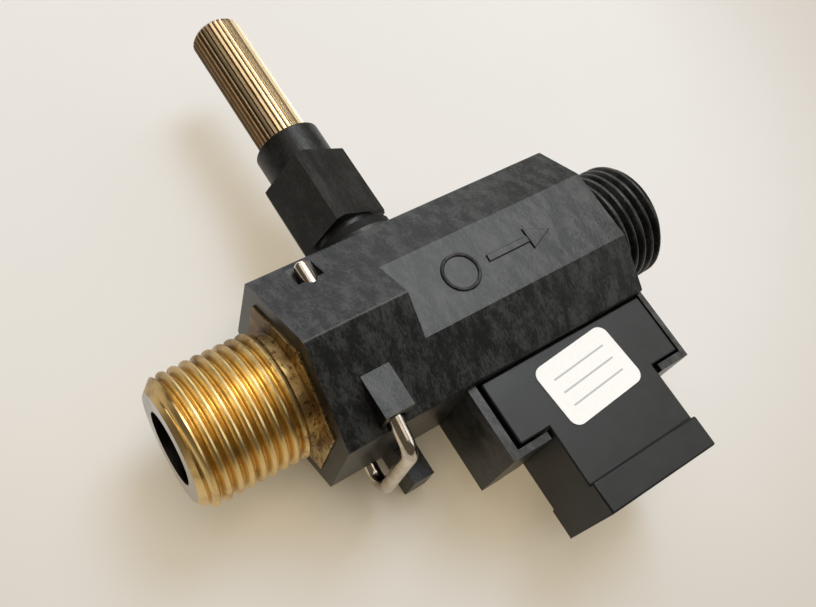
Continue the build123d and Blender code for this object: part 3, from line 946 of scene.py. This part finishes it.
@dataclass(frozen=True)
class Housing:
    """Black body with its threaded outlet and the moulded marks on its flat."""

    thread: PipeThread = PipeThread()
    spigot_x: float = 76.12 * MM
    outlet_x: float = 88.3 * MM
    bore_r: float = 7.8 * MM
    lead: float = 0.9 * MM
    slack: float = 0.1 * MM
    edge: float = 0.25 * MM
    flat_z: float = 13.4 * MM
    ring_at: Pair = (47.5 * MM, 0.15 * MM)
    ring_r: float = 2.95 * MM
    ring_steps: int = 56
    wire_r: float = 0.32 * MM
    wire_steps: int = 12
    arrow_x: Point = (52.6 * MM, 60.6 * MM, 65.0 * MM)
    arrow_half: Pair = (0.6 * MM, 1.9 * MM)
    arrow_edge: float = 0.12 * MM
    relief: float = 0.3 * MM

    def build(self, wardrobe: Wardrobe) -> None:
        """Builds the body, its outlet and the marks.

        Args:
            wardrobe: Dresses the pieces.
        """
        body = self._body()
        soften(wardrobe.piece(body, "body_shell", Slot.NYLON, BODY, "body_housing"), self.edge)
        sleeve = self.thread.sleeve(self.spigot_x, self.outlet_x, self.bore_r, self.lead, End.HIGH)
        wardrobe.piece(sleeve, "outlet_thread", Slot.NYLON, BODY, "body_housing")
        wardrobe.piece(self._ring(), "moulded_ring", Slot.NYLON, BODY)
        wardrobe.piece(self._arrow(), "flow_arrow", Slot.NYLON, BODY)

    def _body(self) -> BMesh:
        """Returns the body's copy without its plain outlet."""
        bm = copy_of("body_housing")
        reach = self.thread.crest_r + self.slack
        faces = [f for f in bm.faces if all(math.hypot(v.co.y, v.co.z) < reach for v in f.verts)]
        faces = [f for f in faces if max(v.co.x for v in f.verts) > self.spigot_x]
        edges = {e: None for f in faces for e in f.edges}
        verts = {v: None for f in faces for v in f.verts}
        cut(bm, (self.spigot_x, 0, 0), (1, 0, 0), [*faces, *edges, *verts], clear_outer=True)
        bmesh.ops.bridge_loops(bm, edges=rim_at(bm, self.spigot_x, reach))
        return bm

    def _ring(self) -> BMesh:
        """Returns a raised half-round ring on the flat."""
        bm = bmesh.new()
        upright = Matrix.Rotation(math.pi / 2, 4, "X")
        side = Matrix.Translation((self.ring_at[0] + self.ring_r, self.ring_at[1], self.flat_z))
        wire = bmesh.ops.create_circle(
            bm, segments=self.wire_steps, radius=self.wire_r, matrix=side @ upright
        )["verts"]
        bmesh.ops.spin(
            bm,
            geom=wire + bm.edges[:],
            cent=(*self.ring_at, 0),
            axis=(0, 0, 1),
            angle=math.tau,
            steps=self.ring_steps,
            use_merge=True,
        )
        bmesh.ops.remove_doubles(bm, verts=bm.verts, dist=WELD)
        bmesh.ops.recalc_face_normals(bm, faces=bm.faces)
        return bm

    def _arrow(self) -> BMesh:
        """Returns a raised arrow that points the way of the water."""
        bm = bmesh.new()
        tail, neck, tip = self.arrow_x
        thin, wide = self.arrow_half
        low = self.flat_z - self.relief
        middle = Matrix.Translation(((tail + neck) / 2, self.ring_at[1], low))
        shaft = middle @ Matrix.Diagonal((neck - tail, 2 * thin, 1, 1))
        bmesh.ops.create_grid(bm, x_segments=1, y_segments=1, size=0.5, matrix=shaft)
        # A triangle's corners are two thirds of its height away from its middle.
        head_r = (tip - neck) * 2 / 3
        slim = wide / (head_r * math.sin(math.tau / 3))
        head = (
            Matrix.Translation((tip - head_r, self.ring_at[1], low))
            @ Matrix.Diagonal((1, slim, 1, 1))
            @ Matrix.Rotation(-math.pi / 2, 4, "Z")
        )
        bmesh.ops.create_circle(bm, cap_ends=True, segments=3, radius=head_r, matrix=head)
        raised = bmesh.ops.extrude_face_region(bm, geom=bm.faces[:], use_keep_orig=True)["geom"]
        tops = [g for g in raised if isinstance(g, BMVert)]
        bmesh.ops.translate(bm, verts=tops, vec=(0, 0, 2 * self.relief))
        bmesh.ops.recalc_face_normals(bm, faces=bm.faces)
        sharp = math.radians(SHARP)
        rim = [e for e in bm.edges if len(e.link_faces) == 2 and e.calc_face_angle() > sharp]
        upper = [e for e in rim if all(v.co.z > self.flat_z for v in e.verts)]
        bmesh.ops.bevel(
            bm,
            geom=upper,
            offset=self.arrow_edge,
            offset_type="OFFSET",
            affect="EDGES",
            segments=EDGE_STEPS,
            profile=0.5,
            material=-1,
        )
        return bm


@dataclass(frozen=True)
class Bonnet:
    """Black bonnet, drawn in to a waist between its square and the washer."""

    axis_x: float = 41.1 * MM
    bore_r: float = 5.3 * MM
    waist_r: float = 5.5 * MM
    waist_y: Pair = (17.25 * MM, 19.05 * MM)
    rim_cuts: int = 9
    edge: float = 0.25 * MM

    def build(self, wardrobe: Wardrobe) -> None:
        """Builds the bonnet.

        Args:
            wardrobe: Dresses the piece.
        """
        bm = copy_of("bonnet")
        self._draw_in(bm)
        soften(wardrobe.piece(bm, "bonnet_shell", Slot.NYLON, BODY, "bonnet"), self.edge)

    def _radius(self, vert: BMVert) -> float:
        """Returns the distance of a vertex from the spindle's axis."""
        return math.hypot(vert.co.x - self.axis_x, vert.co.z)

    def _rim(self, bm: BMesh, y: float) -> list[BMEdge]:
        """Returns the open edges at a height along the spindle."""
        level = [e for e in bm.edges if all(abs(v.co.y - y) < WELD for v in e.verts)]
        return [e for e in level if e.is_boundary]

    def _draw_in(self, bm: BMesh) -> None:
        """Puts a waist in place of the outer wall under the square.

        Args:
            bm: Mesh to change.
        """
        low, high = self.waist_y
        for y in self.waist_y:
            cut(bm, (0, y, 0), (0, 1, 0))
        outer = [f for f in bm.faces if all(self._radius(v) > self.bore_r for v in f.verts)]
        between = [f for f in outer if low < f.calc_center_median().y < high]
        bmesh.ops.delete(bm, geom=between, context="FACES")
        sides = [e for e in self._rim(bm, high) if e.calc_length() > self.edge]
        bmesh.ops.subdivide_edges(bm, edges=sides, cuts=self.rim_cuts)
        rim = pull(bm, self._rim(bm, high))
        for vert in ends_of(rim):
            shrink = self.waist_r / self._radius(vert)
            vert.co.x = self.axis_x + (vert.co.x - self.axis_x) * shrink
            vert.co.z *= shrink
        foot = pull(bm, rim)
        bmesh.ops.translate(bm, verts=ends_of(foot), vec=(0, low - high, 0))
        bmesh.ops.bridge_loops(bm, edges=self._rim(bm, low))
        bmesh.ops.recalc_face_normals(bm, faces=bm.faces)


@dataclass(frozen=True)
class Pickup:
    """Case of the pickup, with its edges rounded."""

    edge: float = 0.3 * MM

    def build(self, wardrobe: Wardrobe) -> None:
        """Builds the case.

        Args:
            wardrobe: Dresses the piece.
        """
        bm = copy_of("pickup_housing")
        soften(wardrobe.piece(bm, "pickup_shell", Slot.PICKUP, BODY, "pickup_housing"), self.edge)


@dataclass(frozen=True)
class SoftBox:
    """A large square lamp."""

    name: str
    place: Point
    size: float
    power: float
    colour: Colour
    aim: Point = (0.045, 0.0, 0.0)

    def build(self) -> None:
        """Adds the lamp to the scene."""
        lamp = bpy.data.lights.new(self.name, "AREA")
        lamp.size = self.size
        lamp.energy = self.power
        lamp.color = self.colour
        made = bpy.data.objects.new(self.name, lamp)
        made.location = self.place
        way = Vector(self.aim) - Vector(self.place)
        made.rotation_euler = way.to_track_quat("-Z", "Y").to_euler()
        bpy.context.scene.collection.objects.link(made)


@dataclass(frozen=True)
class Studio:
    """Floor, light and camera."""

    floor_at: Pair = (0.045, 0.01)
    floor_half: float = 0.7
    floor_cells: int = 8
    floor_colour: Colour = (0.35, 0.405, 0.5)
    floor_shade: Colour = (0.335, 0.39, 0.485)
    painted_dim_floor_edge: Colour = (0.205, 0.24, 0.308)
    floor_cloud: float = 60 * MM
    floor_tone: Pair = (0.3, 0.7)
    floor_rough: float = 0.75
    floor_glow: Colour = (0.41, 0.32, 0.19)
    # Reach of the painted contact shadow on the floor.
    contact: float = 11 * MM
    painted_light_pool_at: Pair = (60 * MM, 50 * MM)
    painted_light_pool_r: Pair = (70 * MM, 140 * MM)
    sky: Colour = (1.0, 0.84, 0.62)
    sky_level: float = 0.12
    lamps: tuple[SoftBox, ...] = (
        SoftBox("key", (0.275, 0.19, 0.55), 0.28, 2.1, (0.88, 0.95, 1.0)),
        SoftBox("overhead", (0.3, 0.3, 1.1), 2.0, 13.0, (1.0, 0.92, 0.8)),
        SoftBox("window", (0.25, 0.85, 0.3), 0.7, 2.2, (0.9, 0.96, 1.0)),
        SoftBox("side", (0.85, -0.35, 0.45), 0.6, 1.8, (0.92, 0.97, 1.0)),
    )
    eye: Point = (-17.36 * MM, -36.21 * MM, 129.37 * MM)
    back: Point = (-0.41062503, -0.2678135, 0.87158649)
    up: Point = (0.40552285, 0.80251022, 0.43763976)
    lens_mm: float = 40.44
    sensor_mm: float = 36.0
    near: float = 10 * MM

    def build(self) -> None:
        """Adds everything round the object."""
        self._floor()
        self._sky()
        for lamp in self.lamps:
            lamp.build()
        self._camera()
        bpy.context.scene.view_settings.view_transform = "Standard"

    def _floor(self) -> None:
        """Adds a pale table top under the lowest point."""
        bm = bmesh.new()
        level = Matrix.Translation((*self.floor_at, cad_box[0].z))
        cells = self.floor_cells
        bmesh.ops.create_grid(bm, x_segments=cells, y_segments=cells, size=self.floor_half, matrix=level)
        mesh = bpy.data.meshes.new("table_top")
        bm.to_mesh(mesh)
        bm.free()
        mesh.materials.append(self._paint())
        floor = bpy.data.objects.new("table_top", mesh)
        bpy.context.scene.collection.objects.link(floor)

    def _paint(self) -> bpy.types.Material:
        """Makes the table's paint, with a painted pool of light that dims towards the far edge, and a warm
        glow that lights nothing and fades by the object into a painted contact shadow.

        Returns:
            The material.
        """
        paint = bpy.data.materials.new("table_top")
        paint.use_nodes = True
        graph = Graph(paint.node_tree)
        place = graph.place()
        clouds = graph.noise(place, self.floor_cloud).ramp(*self.floor_tone)
        pale = graph.mix(self.floor_shade, self.floor_colour, clouds)
        x, y, _ = graph.axes(place)
        # Painted pool of light: the floor dims towards its far edge.
        radius = ((x - self.painted_light_pool_at[0]) ** 2 + (y - self.painted_light_pool_at[1]) ** 2) ** 0.5
        camera, glossy, through = (
            graph.node("ShaderNodeLightPath", {}, {}, f"Is {kind} Ray")
            for kind in ("Camera", "Glossy", "Transmission")
        )
        # Painted contact shadow: the glow fades where the object closes in over the floor.
        painted_shadow_mask = graph.node("ShaderNodeAmbientOcclusion", {}, {"Distance": self.contact}, "AO")
        glow = (camera + glossy + through) * painted_shadow_mask
        sockets = {
            "Base Color": graph.mix(pale, self.painted_dim_floor_edge, radius.ramp(*self.painted_light_pool_r)),
            "Roughness": self.floor_rough,
            "Emission Color": graph.mix((0, 0, 0), self.floor_glow, glow),
            "Emission Strength": 1.0,
        }
        shader = graph.node("ShaderNodeBsdfPrincipled", {}, sockets)
        graph.node("ShaderNodeOutputMaterial", {}, {"Surface": shader})
        return paint

    def _sky(self) -> None:
        """Sets an even pale sky."""
        world = bpy.data.worlds.new("sky")
        world.use_nodes = True
        graph = Graph(world.node_tree)
        sockets = {"Color": self.sky, "Strength": self.sky_level}
        sky = graph.node("ShaderNodeBackground", {}, sockets)
        graph.node("ShaderNodeOutputWorld", {}, {"Surface": sky})
        bpy.context.scene.world = world

    def _camera(self) -> None:
        """Adds the camera at the photograph's place."""
        data = bpy.data.cameras.new("camera")
        data.lens = self.lens_mm
        data.sensor_width = self.sensor_mm
        data.sensor_fit = "HORIZONTAL"
        data.clip_start = self.near
        made = bpy.data.objects.new("camera", data)
        back, up = Vector(self.back), Vector(self.up)
        turn = Matrix((up.cross(back), up, back)).transposed()
        made.matrix_world = Matrix.Translation(self.eye) @ turn.to_4x4()
        bpy.context.scene.collection.objects.link(made)
        bpy.context.scene.camera = made


def main() -> None:
    """Builds the pieces, dresses the nodes and sets up the studio."""
    logging.basicConfig(level=logging.INFO, format="%(message)s")
    wardrobe = Wardrobe(FINISHES)
    wardrobe.dress_nodes()
    for assembly in (Inlet(), Housing(), Bonnet(), Pickup()):
        assembly.build(wardrobe)
    Studio().build()


if __name__ == "__main__":
    main()
